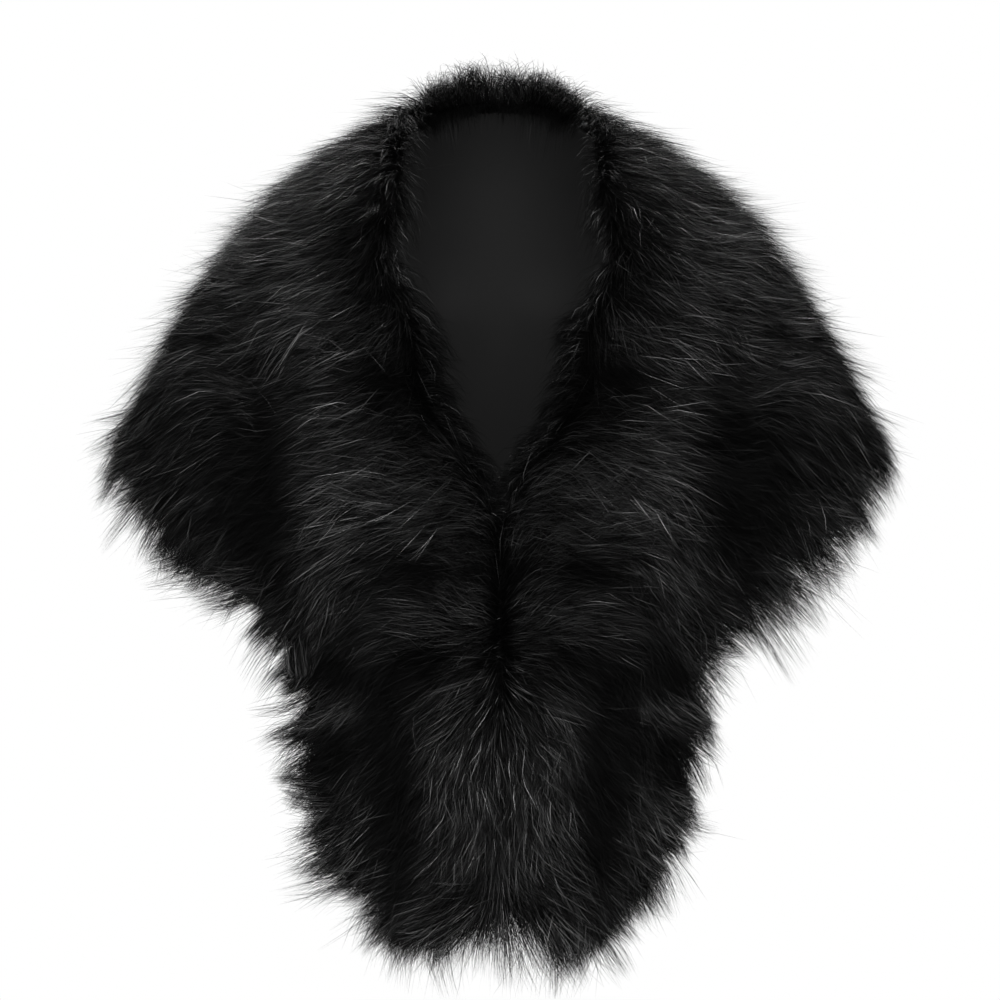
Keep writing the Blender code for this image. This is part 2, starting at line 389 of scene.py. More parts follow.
def places_in(panel, count):
    """Places along a panel, between its seams or its seam and the sewn end of its tail."""
    first, last = PANELS[panel]
    sewn_end = TAIL_END - TAIL_HEM
    return np.linspace(max(first, -sewn_end) + SEAM, min(last, sewn_end) - SEAM, count)


backings = {}
for panel in PANELS:
    piece = walled_sheet(
        f"backing_{panel}", places_in(panel, BACKING_ROWS), np.linspace(0, 1, BACKING_COLUMNS),
        LINING_GAP, LINING_GAP + BACKING, knit.owner,
    )
    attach(piece, "root")
    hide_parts(f"fur_{panel}")
    backings[panel] = piece


# ---------------------------------------------------------------------------------------------------------
# The lining: smooth charcoal polyester in three panels, sewn to the backing round the neck edge, hems and
# tails. It hangs a little loose, so it ripples softly inside the neck.

LINING_THICKNESS = 0.0008
LINING_ROWS, LINING_COLUMNS = 80, 40
LINING_INSET = 0.001  # from the backing's edges
RIPPLE = 0.0016  # how far the lining hangs off the backing at most
LINING_DARK, LINING_LIGHT = (0.023, 0.023, 0.023, 1), (0.028, 0.028, 0.028, 1)

satin = new_material("charcoal_lining", Specular_IOR_Level=0.08, Sheen_Weight=0.05, Sheen_Roughness=0.5)
cloth = satin.node("ShaderNodeUVMap", {"uv_map": "cloth"}, {})[0]
warp, weft = (
    satin.node(
        "ShaderNodeTexWave", {"wave_type": "BANDS", "bands_direction": way},
        {"Vector": cloth, "Scale": 420.0, "Distortion": 1.0, "Detail": 1.0},
    )["Fac"]
    for way in ("X", "Y")
)
clouds = satin.node("ShaderNodeTexNoise", {}, {"Vector": cloth, "Scale": 9.0, "Detail": 3.0})[0]
satin.shade(
    Base_Color=satin.mix(clouds, LINING_DARK, LINING_LIGHT),
    Roughness=0.6 + 0.12 * clouds,
    Normal=satin.node("ShaderNodeBump", {}, {"Strength": 0.15, "Distance": 0.0001, "Height": warp * weft})[0],
)
# Each lining's flat width and length, and its area, because it isn't a rectangle.
LINING_CUT = {
    "back": (0.60, 0.36, 0.16),
    "front_left": (0.53, 0.35, 0.10),
    "front_right": (0.53, 0.35, 0.10),
}


SEAM_SHARE, FLAT_SHARE = 0.07, 1.15  # the swells end this far inside the seams
SWELLS, SWELL_BEND, BENDS = 2.3, 1.6, 5  # how closely the swells follow each other, and how they bend


def ripples(along, share):
    """The height of the lining's inner face, which hangs off the backing in swells between its seams."""
    across = np.sin(np.pi * np.clip(share * FLAT_SHARE - SEAM_SHARE, 0, 1))
    swell = 0.5 + 0.5 * np.sin(along * SWELLS + SWELL_BEND * np.sin(share * BENDS + along))
    return -RIPPLE * across * swell


for panel in PANELS:
    piece = walled_sheet(
        f"lining_cloth_{panel}", places_in(panel, LINING_ROWS), np.linspace(0, 1, LINING_COLUMNS), ripples,
        lambda along, share: ripples(along, share) + LINING_THICKNESS, satin.owner, LINING_INSET,
    )
    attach(piece, "root")
    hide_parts(f"lining_{panel}")
    width, length, area = LINING_CUT[panel]


# ---------------------------------------------------------------------------------------------------------
# The pile: glossy black acrylic knitted into the backing, long guard hairs over a finer, duller underfur. It
# lies outwards and down, stands up where it parts behind the neck, turns over the neck edge, gathers in
# pointed locks, and hangs past the hem as a fringe.

LENGTH, LENGTH_SPREAD = 0.046, 0.14
PILE = 0.021  # how high the lying pile stands
FIBRE_WIDTH = 0.00031
WIDTHS = {1: (1.15, 0.0), 2: (0.9, 1.0, 0.0), 3: (0.9, 1.0, 0.75, 0.0)}  # root to tip, by a fibre's pieces
SUBSTEPS, STIFFNESS = 2, 0.9
TUFT_SIZE = 0.024
STRAYS = 0.03  # the share of fibres that keep to no lock and lie askew
LOOSE, HEM_LOOSE, NAPE_LOOSE = 0.2, 0.06, 0.3  # the shares that only aren't drawn into their lock's tip
DROOP = 0.9
RISE_BEND = 1.6  # fibres rise most by their roots
CURL_MIDDLE = 0.3  # the share of a fibre's length where its curl changes sides
STAND_RISE, STAND_LOSS = 0.45, 0.5  # the shares of its length that a standing fibre gains in height and loses
NAPE_SHARES = (0.4, 0.15)
FORWARD_UP = (0, -0.93, 0.37)  # the way in which the ribbons at the nape face
PROUD_SHARE, PROUD = 0.03, 0.009  # how far past the cut garment's box the longest hairs may reach
spare = (np.array(cad_box[1]) - np.array(cad_box[0])) * PROUD_SHARE + PROUD
TRIM_LOW, TRIM_HIGH = np.array(cad_box[0]) - spare, np.array(cad_box[1]) + spare

# Which way the pile lies at each cross-section, in degrees: by the neck edge, where 0 is away from the edge
# and 90 along it towards the tail, and a quarter, half and nearly all of the way to the hem, where 0 is
# outwards and 90 down. Last, how long and full the pile is.
Lie = namedtuple("Lie", "section neck upper lower hem full")
LIES = (
    Lie("centre_back", 0, 90, 90, 90, 1.08),
    Lie("back_quarter", 34, 78, 80, 82, 1.12),
    Lie("back_shoulder", 14, 44, 46, 62, 1.14),
    Lie("shoulder_top", 12, 32, 34, 52, 1.16),
    Lie("front_shoulder", 26, 28, 30, 54, 1.16),
    Lie("collar_bone", 36, 36, 28, 56, 1.14),
    Lie("chest", 24, 22, 30, 50, 1.20),
    Lie("bust", -20, 14, 50, 56, 1.12),
    Lie("closure", -30, -10, 50, 62, 0.98),
    Lie("tail_top", -30, 10, 54, 36, 0.98),
    Lie("tail_middle", 84, 74, 46, 34, 1.08),
    Lie("tail_low", 62, 50, 62, 32, 1.30),
    Lie("tail_end", 84, 72, 68, 62, 1.22),
)
FULL = [(place, lie.full) for place, lie in enumerate(LIES)]
UPPER_AT, LOWER_AT, HEM_AT = 0.26, 0.55, 0.84  # the shares across the band where the last three angles hold
NECK_GIVES_WAY = (0.04, 0.24)  # and those between which the first one gives way to them
FACES_OUT = (0.2, 0.5)  # how squarely the cloth faces forwards or backwards where angles hold as seen

# By place along the band: which way the fibres at the neck edge turn, where 90 is along it and 180 straight
# over it, how much higher the pile stands in the ruff behind the neck, and how densely the neck edge is set.
NECK_LIE = (
    (0, 180), (0.4, 152), (0.8, 138), (2, 128), (3.2, 112), (4.2, 100), (5.3, 98), (5.9, 138), (7.2, 145),
    (8, 155), (10, 145), (12, 120),
)
CROWN = ((0, 0.034), (0.5, 0.030), (1, 0.020), (1.6, 0.014), (2, 0.016), (3, 0.010), (3.6, 0.006), (4.2, 0))
NECK_DENSITY = ((1.4, 2.6), (2.6, 1), (5.2, 1), (5.8, 1.6), (9.0, 1.6), (10.0, 0.8))

# Where the ruff behind the neck and what goes with it end, and where they are at their full.
RUFF, RUFF_SPIKES, BACK_OF_NECK, NAPE = (2.2, 1.0), (2.2, 0.8), (2.6, 0.8), (3.0, 1.6)
FRONTS_MEET = (7.5, 7.7)
# Stretches of each half of the band: where they start, are at their full, begin to fade and end.
Stretch = namedtuple("Stretch", "start full fade end")
SHOULDERS = Stretch(1.4, 2.4, 3.6, 4.2)
NECK_SIDES = Stretch(2.0, 2.6, 4.2, 5.0)
THROAT = Stretch(3.2, 4.0, 5.0, 5.6)
NECKLINE_FOOT = Stretch(4.8, 5.6, 7.0, 7.6)
ARM_HEM = Stretch(3.6, 4.6, 7.2, 8.0)
LONG_HEM = Stretch(4.4, 5.6, 6.6, 7.4)

# A coat's edge, where it has one of its own, its pieces along a fibre, its length and lift beside the guard
# hairs', how bright it is, the share of its locks that end in a point, and how wide a lock is.
Coat = namedtuple("Coat", "edge segments reach lift shine pointed lock")
COATS = {
    "guard": Coat("", 2, 0.92, 1.0, 1.0, 0.3, 0.005),
    "under": Coat("", 1, 0.80, 0.86, 0.85, 0.3, 0.005),
    "neck_guard": Coat("neck", 3, 1.0, 1.0, 1.0, 0.85, 0.006),
    "neck_under": Coat("neck", 1, 0.7, 0.8, 0.7, 0.5, 0.006),
    "hem_guard": Coat("hem", 3, 1.0, 1.0, 1.0, 0.95, 0.009),
    "hem_under": Coat("hem", 1, 0.75, 0.8, 0.7, 0.9, 0.009),
}
NECK_REACH, HEM_REACH = 0.007, 0.02  # how far in from its edge an edge's own coat is rooted
ARM_HEM_DENSER, LONG_HEM_LONGER = 0.5, 0.22
TAIL_SECTION = 0.065  # how long a section is by the end of a tail


def within(stretch, along):
    """1 over a stretch of the band, easing to 0 at both ends."""
    at = np.abs(along)
    return smooth(stretch.start, stretch.full, at) * smooth(stretch.end, stretch.fade, at)


def lie_directions():
    """The way the pile lies at each point of the band's grid, and how well that way is settled there."""
    share = np.linspace(0, 1, STEPS_ACROSS + 1)
    neck, upper, lower, hem = (
        np.radians(section_values(LIES, np.abs(GRID_ALONG), column))
        for column in ("neck", "upper", "lower", "hem")
    )
    side = np.where(GRID_ALONG < 0, -1.0, 1.0)[:, None]
    by_edge = unit(GRID_ACROSS) * np.cos(neck)[:, None] + unit(GRID_RUN) * (np.sin(neck) * side)[:, None]
    angle = upper + (lower - upper) * smooth(UPPER_AT, LOWER_AT, share)
    angle = angle + (hem - lower) * smooth(LOWER_AT, HEM_AT, share)
    rest = np.stack([np.cos(angle) * side, np.zeros_like(angle), -np.sin(angle)], axis=2)
    turned = smooth(*NECK_GIVES_WAY, share)[None, :, None]

    def laid_flat(vectors):
        return vectors - (vectors * GRID_NORMAL).sum(axis=2, keepdims=True) * GRID_NORMAL

    # Where the cloth faces forwards or backwards, the angles hold as seen from the front or the back.
    facing = GRID_NORMAL[..., 1:2]
    into = (rest * GRID_NORMAL).sum(axis=2, keepdims=True) * np.array([0.0, 1, 0])
    seen = unit(rest * np.abs(facing) - into * np.sign(facing))
    square = smooth(*FACES_OUT, np.abs(facing))
    lie = by_edge * (1 - turned) + (seen * square + unit(laid_flat(rest)) * (1 - square)) * turned
    hold = np.linalg.norm(laid_flat(by_edge * (1 - turned) + rest * turned), axis=2)
    return unit(laid_flat(lie)), hold


GRID_LIE, GRID_HOLD = lie_directions()


# The size and seed of each kind of unevenness in the pile.
RUFFLE, DRIFT, BEND, MOTTLE = (0.03, 6), (0.07, 5), (0.05, 7), (0.03, 9)
WAVE_COUNT, WAVES_HIGH = 7, 3.2
WAVE_SIZES, WAVE_SHIFT = (0.6, 1.6), 6.3


def waves(points, size, seed):
    """A smooth uneven value from about -1 to 1 at each point, whose swells are about that size."""
    rng = np.random.default_rng(seed)
    total = np.zeros(points.shape[:-1])
    for _ in range(WAVE_COUNT):
        direction = unit(rng.normal(size=3))
        closeness = 2 * math.pi / size * rng.uniform(*WAVE_SIZES)
        total += np.sin(points @ direction * closeness + rng.uniform(0, WAVE_SHIFT))
    return total / WAVES_HIGH


def roots(count, first, last, edge, rng):
    """Places along and shares across for fibres' roots, spread evenly over the sewn cloth, and its area.

    Those of an edge's own coat keep near it."""
    cell = np.linalg.norm(np.cross(GRID_RUN, GRID_ACROSS), axis=2)[:-1, :-1]
    cell = cell / STEPS_PER_SECTION / STEPS_ACROSS
    middle = ((GRID_ALONG[:-1] + GRID_ALONG[1:]) / 2)[:, None]
    share = ((np.arange(STEPS_ACROSS) + 0.5) / STEPS_ACROSS)[None]
    width = width_along(middle)
    from_neck, from_hem = share * width - by_place(NECK_ROLL, middle), (1 - share) * width - FRINGE
    from_tail = (TAIL_END - TAIL_HEM - np.abs(middle)) * np.ones_like(share)
    sewn = (from_neck > 0) & (from_hem > 0) & (from_tail > 0) & (middle > first) & (middle < last)
    density = np.ones_like(cell)
    if edge == "neck":
        sewn &= from_neck < NECK_REACH * (1 + smooth(*RUFF, np.abs(middle)))
        density *= by_place(NECK_DENSITY, middle)
    if edge == "hem":
        sewn &= (from_hem < HEM_REACH) | (from_tail < HEM_REACH / TAIL_SECTION)
        density *= 1 + ARM_HEM_DENSER * within(ARM_HEM, middle)
    weight = (cell * sewn * density).ravel()
    picked = rng.choice(len(weight), count, p=weight / weight.sum())
    i, j = picked // STEPS_ACROSS, picked % STEPS_ACROSS
    along = GRID_ALONG[i] + rng.uniform(0, 1 / STEPS_PER_SECTION, count)
    return along, (j + rng.uniform(0, 1, count)) / STEPS_ACROSS, weight.sum()


def nearest(points, centres):
    """The number of the nearest centre for each point."""
    tree = KDTree(len(centres))
    for n, centre in enumerate(centres):
        tree.insert(centre, n)
    tree.balance()
    return np.array([tree.find(point)[1] for point in points])


def gather(base, area, coat, rng):
    """The fibres that lead the locks, and each fibre's lock and tuft."""
    leaders = rng.choice(len(base), int(area / coat.lock**2), replace=False)
    lock = nearest(base, base[leaders])
    tufts = base[rng.choice(len(base), int(area / TUFT_SIZE**2), replace=False)]
    return leaders, lock, nearest(base[leaders], tufts)[lock]


def shared(group, low, high, rng):
    """A random value for each fibre that its whole lock or tuft shares."""
    return rng.uniform(low, high, group.max() + 1)[group]


# Where the pile lies a little lower and is painted darker, as painted shade, or stands a little higher and is
# painted lighter, as painted light: a face, a middle, a reach and a gain.
Patch = namedtuple("Patch", "face x z reach_x reach_z gain")
PATCHES = (
    Patch(FRONT, 0.171, -0.243, 0.025, 0.056, -1.9),  # the hollow between the arm and the chest
    Patch(FRONT, 0.181, -0.176, 0.012, 0.030, 1.0),
    Patch(FRONT, 0.112, -0.134, 0.022, 0.016, 0.8),
    Patch(FRONT, 0.086, -0.170, 0.028, 0.014, -1.1),
    Patch(FRONT, 0.050, -0.260, 0.046, 0.018, 3.3),  # the swell above the closure
    Patch(FRONT, 0.070, -0.240, 0.050, 0.034, 1.0),
    Patch(FRONT, 0.062, -0.304, 0.015, 0.010, -1.1),
    Patch(FRONT, 0.006, -0.310, 0.018, 0.024, -1.0),
    Patch(FRONT, 0.090, -0.330, 0.050, 0.040, -0.7),
    Patch(FRONT, 0.220, -0.220, 0.040, 0.090, -0.8),  # the outside of the arm, a little duller
    Patch(FRONT, 0.085, -0.450, 0.055, 0.100, -0.68),
    Patch(FRONT, 0.050, -0.338, 0.026, 0.013, 1.5),
    Patch(FRONT, 0.142, -0.325, 0.024, 0.026, 0.6),
    Patch(FRONT, 0.059, -0.372, 0.015, 0.014, -1.3),
    Patch(FRONT, 0.008, -0.352, 0.013, 0.030, -0.8),
    Patch(FRONT, 0.119, -0.378, 0.017, 0.015, -1.2),
    Patch(FRONT, 0.124, -0.402, 0.022, 0.009, 1.3),
    Patch(FRONT, 0.124, -0.436, 0.018, 0.020, -1.0),
    Patch(FRONT, 0.036, -0.470, 0.022, 0.050, 0.7),  # down the inner half of the tail
    Patch(FRONT, 0.088, -0.410, 0.010, 0.030, -1.2),
    Patch(FRONT, 0.074, -0.470, 0.011, 0.055, -1.9),
    Patch(FRONT, 0.115, -0.492, 0.020, 0.018, 0.7),
    Patch(FRONT, 0.200, -0.290, 0.040, 0.030, -0.3),
    Patch(FRONT, 0.078, -0.010, 0.030, 0.036, -0.7),  # beside the neck
    Patch(BACK, 0.076, 0.016, 0.024, 0.016, -0.7),
    Patch(BACK, 0.000, 0.050, 0.050, 0.020, 1.4),  # the ruff behind the neck
    Patch(BACK, 0.020, -0.110, 0.020, 0.045, 0.5),
    Patch(BACK, 0.072, -0.200, 0.018, 0.050, 0.6),
    Patch(BACK, 0.046, -0.230, 0.016, 0.050, -0.8),
    Patch(BACK, 0.150, -0.210, 0.018, 0.050, -0.8),
    Patch(BACK, 0.190, -0.150, 0.022, 0.040, 0.6),
    Patch(BACK, 0.110, -0.100, 0.030, 0.020, -0.5),
)


def patch_gains(right):
    """The patches' effect at points of the right half: 0 where there is none."""
    total = np.zeros(len(right))
    for patch in PATCHES:
        away = ((right[:, 0] - patch.x) / patch.reach_x) ** 2 + ((right[:, 2] - patch.z) / patch.reach_z) ** 2
        total += on_face(patch.face, right) * patch.gain * np.exp(-away)
    return total


# How much fibres differ from each other, singly, by lock or by tuft: the least and the most of a length or a
# height, the least height and how much a proud one adds, and turns to either side in radians.
FIBRE_HEIGHT, LOCK_LENGTH, HEM_LOCK_LENGTH = (0.25, 1.12), (0.85, 1.12), (0.62, 1.3)
LOCK_LOW, LOCK_PROUD, TUFT_LOW, TUFT_PROUD, RUFFLE_RISE = 0.72, 0.45, 0.8, 0.34, 0.12
DRIFT_TURN, RUFFLE_TURN, TUFT_TURN, LOCK_TURN = 0.20, 0.12, 0.36, 0.22
FIBRE_TURN, STRAY_TURN, UNSETTLED_TURN = 0.24, 0.6, 0.5
BEND_CURL, FIBRE_CURL = 0.06, 0.025
SHORTEST, LONGEST = -2, 1.5  # in spreads of the length
BY_HEM, SHORTER_BY_HEM = 0.03, 0.34  # fibres rooted that near the hem are shorter by up to that share
LIFTED, LIFTED_LEAST, LIFTED_MOST = 0.35, 0.5, 1.25  # how far a patch lifts or flattens the pile
FLICKED, FLICK = 0.14, 0.6  # the share of locks that flick up, and how much height their tips gain
FLICK_ENDS, FLICK_SHARES = (8, 6), (0.12, 0.35)  # none in the tails or by the neck edge
CROWN_SHARES, CROWN_LEAST = (0.65, 0.25), 0.5
UNSETTLED = (0.85, 0.25)  # how far the lie holds where fibres begin to stand up and where they all do

# How each fibre lies: its length, how far it turns aside and curls, its height, how much of that it loses or
# gains towards the tip, how it slumps past the neck edge, whether it turns over that edge and how far it
# stands up. Then how proud its lock and its tuft are.
Habit = namedtuple("Habit", "length turn curl height settle slump over stand proud_lock proud_tuft")


def lying_habit(coat, base, along, share, lock, tuft, stray, rng):
    """Fibres that lie over the cloth. Locks and tufts differ from each other, and some locks flick up."""
    count = len(base)
    ruffle = waves(base, *RUFFLE)
    stand = smooth(*UNSETTLED, on_band(GRID_HOLD, along, share)[:, 0])
    full = by_place(FULL, along)
    spread = np.clip(rng.normal(0, 1, count), SHORTEST, LONGEST)
    length = LENGTH * coat.reach * full * (1 + LENGTH_SPREAD * spread)
    if coat.edge == "hem":
        length = length * shared(lock, *HEM_LOCK_LENGTH, rng)
        length = length * (1 + LONG_HEM_LONGER * within(LONG_HEM, along))
    else:
        from_hem = (1 - share) * width_along(along) - FRINGE
        length = length * shared(lock, *LOCK_LENGTH, rng)
        length = length * (1 - SHORTER_BY_HEM * smooth(BY_HEM, 0.0, from_hem))
    turn = DRIFT_TURN * waves(base, *DRIFT) + RUFFLE_TURN * ruffle
    turn = turn + shared(tuft, -TUFT_TURN, TUFT_TURN, rng) + shared(lock, -LOCK_TURN, LOCK_TURN, rng)
    astray = np.where(stray, STRAY_TURN, FIBRE_TURN) + UNSETTLED_TURN * stand
    turn = turn + rng.normal(0, 1, count) * astray
    curl = BEND_CURL * waves(base, *BEND) + rng.normal(0, FIBRE_CURL, count)
    proud_lock, proud_tuft = shared(lock, 0, 1, rng), shared(tuft, 0, 1, rng)
    height = PILE * coat.lift * full * (1 + RUFFLE_RISE * ruffle)
    height = height * (LOCK_LOW + LOCK_PROUD * proud_lock) * (TUFT_LOW + TUFT_PROUD * proud_tuft)
    lifted = np.clip(1 + LIFTED * patch_gains(base * to_right(along)), LIFTED_LEAST, LIFTED_MOST)
    height = height * rng.uniform(*FIBRE_HEIGHT, count) * lifted
    crown = by_place(CROWN, along) * smooth(*CROWN_SHARES, share)
    height = height + crown * rng.uniform(CROWN_LEAST, 1, count)
    flicked = shared(lock, 0, 1, rng) > 1 - FLICKED
    flick = FLICK * smooth(*FLICK_ENDS, np.abs(along)) * smooth(*FLICK_SHARES, share)
    settle, nothing = np.where(flicked, -flick, 0.0), np.zeros(count)
    return Habit(length, turn, curl, height, settle, nothing, nothing > 0, stand, proud_lock, proud_tuft)


# The fibres by the neck edge: the share that turn over it, then the shares of length and height that they
# have and that some have more or less of, how far they slump, and how far they lean, in degrees.
OVER, OVER_LESS_ON_SHOULDER = 0.5, 0.15
NECK_LENGTH, FOOT_LONGER, MEETING_SHORTER = 0.5, 0.04, 0.12
NAPE_SHORTER, RUFF_LONGER, OUTWARD_LONGER, FOOT_LOCK_LENGTH = 0.2, 0.5, 0.9, (0.7, 1.3)
NECK_HEIGHT, NECK_MATTED, NAPE_FLAT = 0.85, 0.2, 0.9
SPIKE, SPIKE_TALLER, SPIKES_FEW, RUFF_STANDS = 0.4, 1.1, 5, (0.45, 1)
NECK_SETTLE, RUFF_SETTLE_LESS = 0.6, 0.4
SLUMP, NAPE_SLUMP = 20, 60
LEAN_SPREAD, FOOT_LEAN = 14, 20
NECK_TURN, SPIKE_TURN, SPIKE_SPREAD = 0.7, 1.4, 0.3


def neck_stretches(along):
    """How far places are behind the neck, over a shoulder, at the neckline's foot and where fronts meet."""
    back, closed = smooth(*BACK_OF_NECK, np.abs(along)), smooth(*FRONTS_MEET, np.abs(along))
    return back, within(SHOULDERS, along), within(NECKLINE_FOOT, along), closed


def neck_habit(lying, along, lock, rng):
    """Short fibres by the neck edge.

    Some turn over it. The others stand up in spikes behind the neck, and lie outwards over the shoulders and
    where the fronts meet."""
    at, count = np.abs(along), len(along)
    back, shoulder, foot, closed = neck_stretches(along)
    over = rng.random(count) < OVER - OVER_LESS_ON_SHOULDER * shoulder
    outward = ~over * np.maximum(closed, shoulder)
    length = lying.length * (NECK_LENGTH + FOOT_LONGER * foot - MEETING_SHORTER * closed * over)
    length = length * (1 - NAPE_SHORTER * over * back)
    length = length * (1 + OUTWARD_LONGER * outward * rng.random(count)) * (1 + RUFF_LONGER * ~over * back)
    length = length * np.where(foot > 0, shared(lock, *FOOT_LOCK_LENGTH, rng), 1)
    matted = NECK_HEIGHT - NECK_MATTED * foot - NECK_MATTED * closed * over - NECK_MATTED * back
    height = lying.height * np.where(over & (back > 0), 1 - NAPE_FLAT * back, matted)
    spiky = SPIKE + SPIKE_TALLER * shared(lock, 0, 1, rng) ** SPIKES_FEW
    stand = np.where(over, 0.0, smooth(*RUFF_SPIKES, at) * rng.uniform(*RUFF_STANDS, count) * spiky)
    slump = rng.uniform(0, SLUMP, count) * (1 - closed) + NAPE_SLUMP * back * over
    lean = by_place(NECK_LIE, along) - section_values(LIES, at, "neck")[:, 0]
    lean = lean * (1 - outward) + rng.normal(0, LEAN_SPREAD, count)
    lean = lean + foot * shared(lock, -FOOT_LEAN, FOOT_LEAN, rng)
    turn = lying.turn * NECK_TURN - np.radians(lean) * np.where(along < 0, -1, 1)
    aside = shared(lock, -SPIKE_TURN, SPIKE_TURN, rng) + rng.normal(0, SPIKE_SPREAD, count)
    return lying._replace(
        length=length, turn=turn + aside * (stand > 0), height=height,
        settle=NECK_SETTLE - RUFF_SETTLE_LESS * back, slump=slump, over=over, stand=stand,
    )


def fibre_paths(along, share, segments, habit):
    """Points down each fibre, which runs over the cloth from its root and rises to its height.

    Some of that height is lost again towards the tip as it settles. Past the cloth's edges a fibre carries
    straight on and droops, and past the neck edge it slumps."""
    height = habit.height + STAND_RISE * habit.length * habit.stand
    length = habit.length * (1 - STAND_LOSS * habit.stand)
    paths, normals = [], []
    steps = segments * SUBSTEPS
    heading = None
    for k in range(steps + 1):
        point = on_band(GRID_POINTS, along, share)
        normal = unit(on_band(GRID_NORMAL, along, share))
        across = on_band(GRID_ACROSS, along, share)
        run = on_band(GRID_RUN, along, share)
        lie = unit(on_band(GRID_LIE, along, share))
        s = k / steps
        if k % SUBSTEPS == 0:
            over = share - np.clip(share, 0, 1)
            past = along - np.clip(along, -TAIL_END, TAIL_END)
            point = point + across * over[:, None] + run * past[:, None]
            width = np.linalg.norm(across, axis=1)
            hang = np.maximum(over, 0) * width + np.abs(past) * np.linalg.norm(run, axis=1)
            inside = np.maximum(by_place(NECK_ROLL, along) - share * width, 0)
            point[:, 2] -= DROOP * hang**2 + habit.slump * inside**2
            rise = height * (1 - (1 - s) ** RISE_BEND) * (1 - habit.settle * s**2)
            paths.append(point + normal * (LINING_GAP + BACKING + rise)[:, None])
            normals.append(normal)
        swing = habit.turn + habit.curl * (s - CURL_MIDDLE)
        lie = lie * np.cos(swing)[:, None] + np.cross(normal, lie) * np.sin(swing)[:, None]
        heading = lie if heading is None else unit(heading * STIFFNESS + lie * (1 - STIFFNESS))
        # The step's shares across and along are those that add up to it.
        aa, ar, rr = (across * across).sum(1), (across * run).sum(1), (run * run).sum(1)
        fa, fr = (heading * across).sum(1), (heading * run).sum(1)
        det = np.maximum(aa * rr - ar * ar, 1e-9)
        share = share + length / steps * (fa * rr - fr * ar) / det
        along = along + length / steps * (fr * aa - fa * ar) / det
    return np.stack(paths, axis=1), np.stack(normals, axis=1)


PULL, POINTED_PULL, BLUNT_PULL, PULL_BEND = (0.5, 1.0), 0.9, 0.35, 1.2
LOCK_KEEPS, TIP_LOSES = 0.3, 0.15  # of the spread of its roots


def drawn_together(paths, base, guide, lock, free, coat, rng):
    """Fibres drawn towards the one that leads their lock, the more the nearer their tips."""
    s = np.linspace(0, 1, coat.segments + 1)[None, :, None]
    pull = rng.uniform(*PULL, len(paths))
    pull = pull * np.where(shared(lock, 0, 1, rng) < coat.pointed, POINTED_PULL, BLUNT_PULL)
    pull = np.where(free, 0.0, pull)[:, None, None] * s**PULL_BEND
    target = paths[guide] + (base - base[guide])[:, None] * (LOCK_KEEPS - TIP_LOSES * s)
    return np.clip(paths * (1 - pull) + target * pull, TRIM_LOW, TRIM_HIGH)


TWIST, TWIST_MOST = 0.7, 1.3  # in radians
FIBRE_WIDTHS = (0.7, 1.3)


def ribbons(paths, facing, rng):
    """The corners of each fibre's ribbon, in pairs down to its tip. It is a little twisted and tapers."""
    count, rungs = paths.shape[:2]
    tangent = unit(np.gradient(paths, axis=1))
    twist = np.clip(rng.normal(0, TWIST, count), -TWIST_MOST, TWIST_MOST)[:, None, None]
    flat = unit(np.cross(tangent, facing))
    side = flat * np.cos(twist) + np.cross(tangent, flat) * np.sin(twist)
    half = FIBRE_WIDTH / 2 * rng.uniform(*FIBRE_WIDTHS, count)[:, None, None]
    half = half * np.array(WIDTHS[rungs - 1])[:, None]
    left, right = paths - side * half, paths + side * half
    vertices = np.stack([left[:, :-1], right[:, :-1]], axis=2).reshape(count, -1, 3)
    return np.concatenate([vertices, right[:, -1:]], axis=1)


# Painted shade and painted light on the pile's colour: how much darker it is painted in the valleys of the
# folds, by the neck edge and where the fronts meet, lighter on the ridges of the folds, and unevenly from
# place to place, how deep or near that is, and where along the band and up the front it ends.
VALLEY, VALLEY_PAINTED_SHADE, RIDGE, RIDGE_PAINTED_LIGHT = 0.012, 0.6, 0.006, 0.3
EDGE, EDGE_WIDER, EDGE_PAINTED_SHADE, EDGE_PAINTED_SHADE_LESS = 0.006, 0.006, 0.9, 0.4
EDGE_TO_CLOSURE, EDGE_FROM_NAPE, EDGE_PAST_SHOULDER = (7.8, 7.0), (0.6, 2.2), (4.2, 3.4)
JOIN, JOIN_PAINTED_SHADE, JOIN_LOW, JOIN_FRONT = 0.008, 0.85, (-0.50, -0.42), (0.0, -0.05)
MOTTLED, GAIN_LEAST, GAIN_MOST = 0.45, 0.02, 4.0


def brightness(right, along, share):
    """Painted light and shade for fibres, from where they show on the right half and where they're rooted."""
    at, rise = np.abs(along), fold_rise(right)
    valley, ridge = np.clip(-rise / VALLEY, 0, 1), np.clip(rise / RIDGE, 0, 1)
    from_edge = share * width_along(along) - by_place(NECK_ROLL, along)
    reach = EDGE + EDGE_WIDER * within(NECK_SIDES, along)
    edge = np.exp(-((from_edge / reach) ** 2)) * smooth(*EDGE_TO_CLOSURE, at) * smooth(*EDGE_FROM_NAPE, at)
    edge_painted_shade = EDGE_PAINTED_SHADE - EDGE_PAINTED_SHADE_LESS * smooth(*EDGE_PAST_SHOULDER, at)
    joined = np.exp(-((right[:, 0] / JOIN) ** 2)) * smooth(*JOIN_LOW, right[:, 2])
    joined = joined * smooth(*JOIN_FRONT, right[:, 1])
    # Painted light on the folds' ridges, painted shade in their valleys, by the neck edge and where the
    # fronts meet; the patches and the mottling paint light and shade from place to place.
    gain = (1 + RIDGE_PAINTED_LIGHT * ridge) * (1 - VALLEY_PAINTED_SHADE * valley) * (1 - edge_painted_shade * edge)
    gain = gain * (1 - JOIN_PAINTED_SHADE * joined)
    patched = np.clip(1 + patch_gains(right), GAIN_LEAST, GAIN_MOST)
    return gain * patched * (1 + MOTTLED * waves(right, *MOTTLE))


